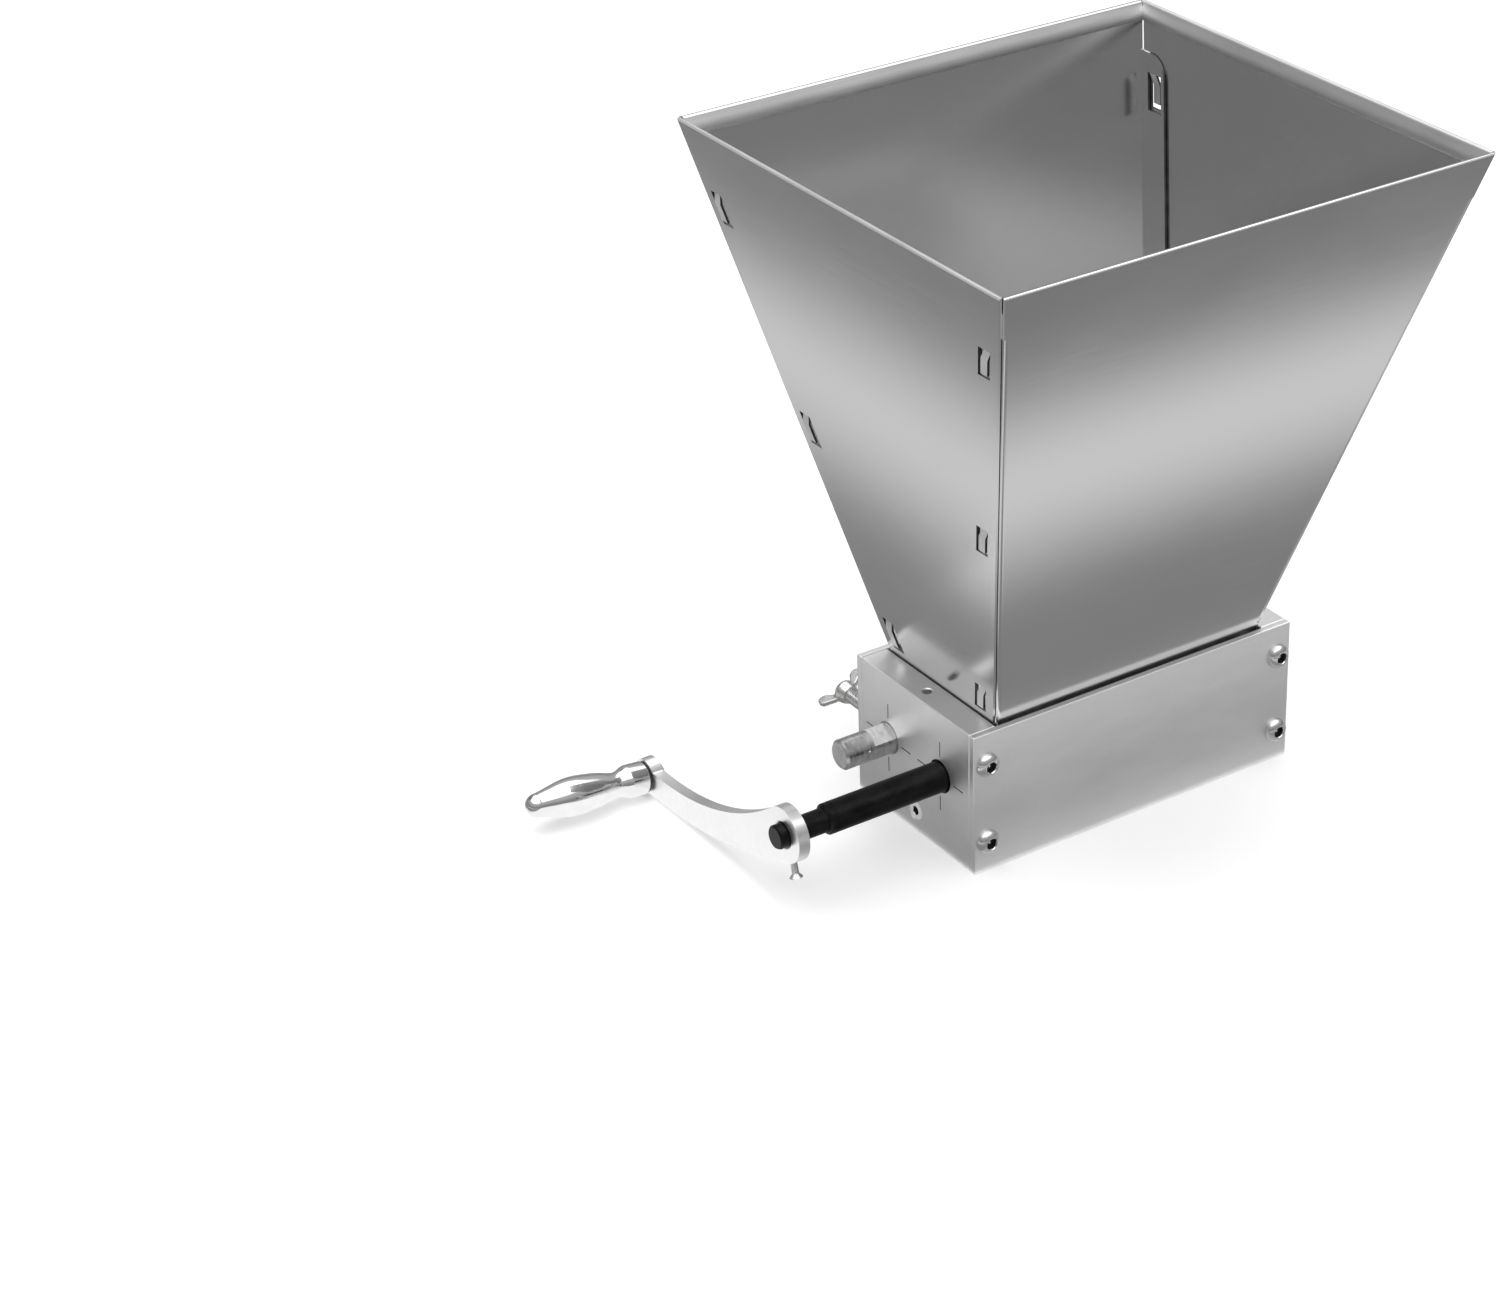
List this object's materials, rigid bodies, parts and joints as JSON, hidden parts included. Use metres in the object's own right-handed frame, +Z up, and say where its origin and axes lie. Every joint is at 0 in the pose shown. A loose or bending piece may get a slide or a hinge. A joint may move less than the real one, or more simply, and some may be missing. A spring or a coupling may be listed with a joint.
{
  "type": "grain mill",
  "caption": "Hand-cranked two-roller grain mill: tapered sheet hopper on a plate housing, eccentric gap adjusters with wing bolts, and a crank with a turning grip.",
  "frame": {"origin": "centre of the four base holes, on the underside that the housing stands on", "axes": "+X along the rollers, away from the crank; +Y towards the wing bolts at the rear; +Z up, towards the hopper"},
  "size_m": [0.3207, 0.2132, 0.2798],
  "materials": {
    "satin_aluminium": "satin, with bright chamfered edges",
    "stainless_sheet": "smooth rolled stainless sheet",
    "bright_fastener": "bright stainless",
    "black_polymer": "matt black",
    "sintered_bronze": "dull, oil filled",
    "roller_steel": "cross knurled",
    "black_oxide_steel": "black oxide, low sheen",
    "turned_steel": "turned and milled",
    "satin_steel": "light satin faces with bright rounded edges",
    "polished_chrome": "mirror polished",
    "zinc_plate": "bright zinc"
  },
  "bodies": {
    "housing": {"end_plate_left": "satin_aluminium", "end_plate_right": "satin_aluminium", "side_plate_front": "satin_aluminium", "side_plate_rear": "satin_aluminium", "side_screws_front": "bright_fastener", "side_screws_rear": "bright_fastener", "drive_bush_left": "black_polymer", "drive_bush_right": "black_polymer", "tie_rod": "turned_steel", "tie_rod_screws": "bright_fastener", "grain_guide_front": "stainless_sheet", "grain_guide_rear": "stainless_sheet", "hopper_panel_front": "stainless_sheet", "hopper_panel_rear": "stainless_sheet", "hopper_panel_left": "stainless_sheet", "hopper_panel_right": "stainless_sheet"},
    "drive": {"drive_roller": "roller_steel", "drive_shaft": "black_oxide_steel", "drive_roller_pin": "turned_steel", "crank_arm": "satin_steel", "crank_set_screw": "bright_fastener", "grip_axle": "turned_steel", "grip_retaining_ring": "turned_steel", "grip_washer": "black_polymer"},
    "grip": {"grip": "polished_chrome"},
    "adjuster_left": {"adjuster_left": "turned_steel"},
    "adjuster_right": {"adjuster_right": "turned_steel"},
    "idler": {"idler_roller": "roller_steel", "idler_bush_left": "sintered_bronze", "idler_bush_right": "sintered_bronze"},
    "wing_bolt_left": {"wing_bolt_left": "zinc_plate"},
    "wing_bolt_right": {"wing_bolt_right": "zinc_plate"}
  },
  "joints": [
    {"name": "drive_spin", "type": "hinge", "parent": "housing", "child": "drive", "pos_m": [0, -0.0175, 0.0343], "axis": [-1, 0, 0], "continuous": true},
    {"name": "grip_spin", "type": "hinge", "parent": "drive", "child": "grip", "pos_m": [-0.15305, 0.08792, 0.0078], "axis": [-0.9959, 0, 0.0906], "continuous": true},
    {"name": "adjuster_left_turn", "type": "hinge", "parent": "housing", "child": "adjuster_left", "pos_m": [-0.079, 0.0186, 0.0343], "axis": [1, 0, 0], "range_deg": [-90, 90]},
    {"name": "adjuster_right_turn", "type": "hinge", "parent": "housing", "child": "adjuster_right", "pos_m": [0.079, 0.0186, 0.0343], "axis": [1, 0, 0], "range_deg": [-90, 90]},
    {"name": "idler_spin", "type": "hinge", "parent": "adjuster_left", "child": "idler", "pos_m": [0, 0.0186, 0.0336], "axis": [1, 0, 0], "continuous": true},
    {"name": "wing_bolt_left_turn", "type": "hinge", "parent": "housing", "child": "wing_bolt_left", "pos_m": [-0.07265, 0.0406, 0.0343], "axis": [0, 1, 0], "range_deg": [0, 360]},
    {"name": "wing_bolt_right_turn", "type": "hinge", "parent": "housing", "child": "wing_bolt_right", "pos_m": [0.07265, 0.0406, 0.0343], "axis": [0, 1, 0], "range_deg": [0, 360]}
  ],
  "couplings": [
    {"joint": "adjuster_right_turn", "follows": "adjuster_left_turn", "ratio": 1}
  ]
}
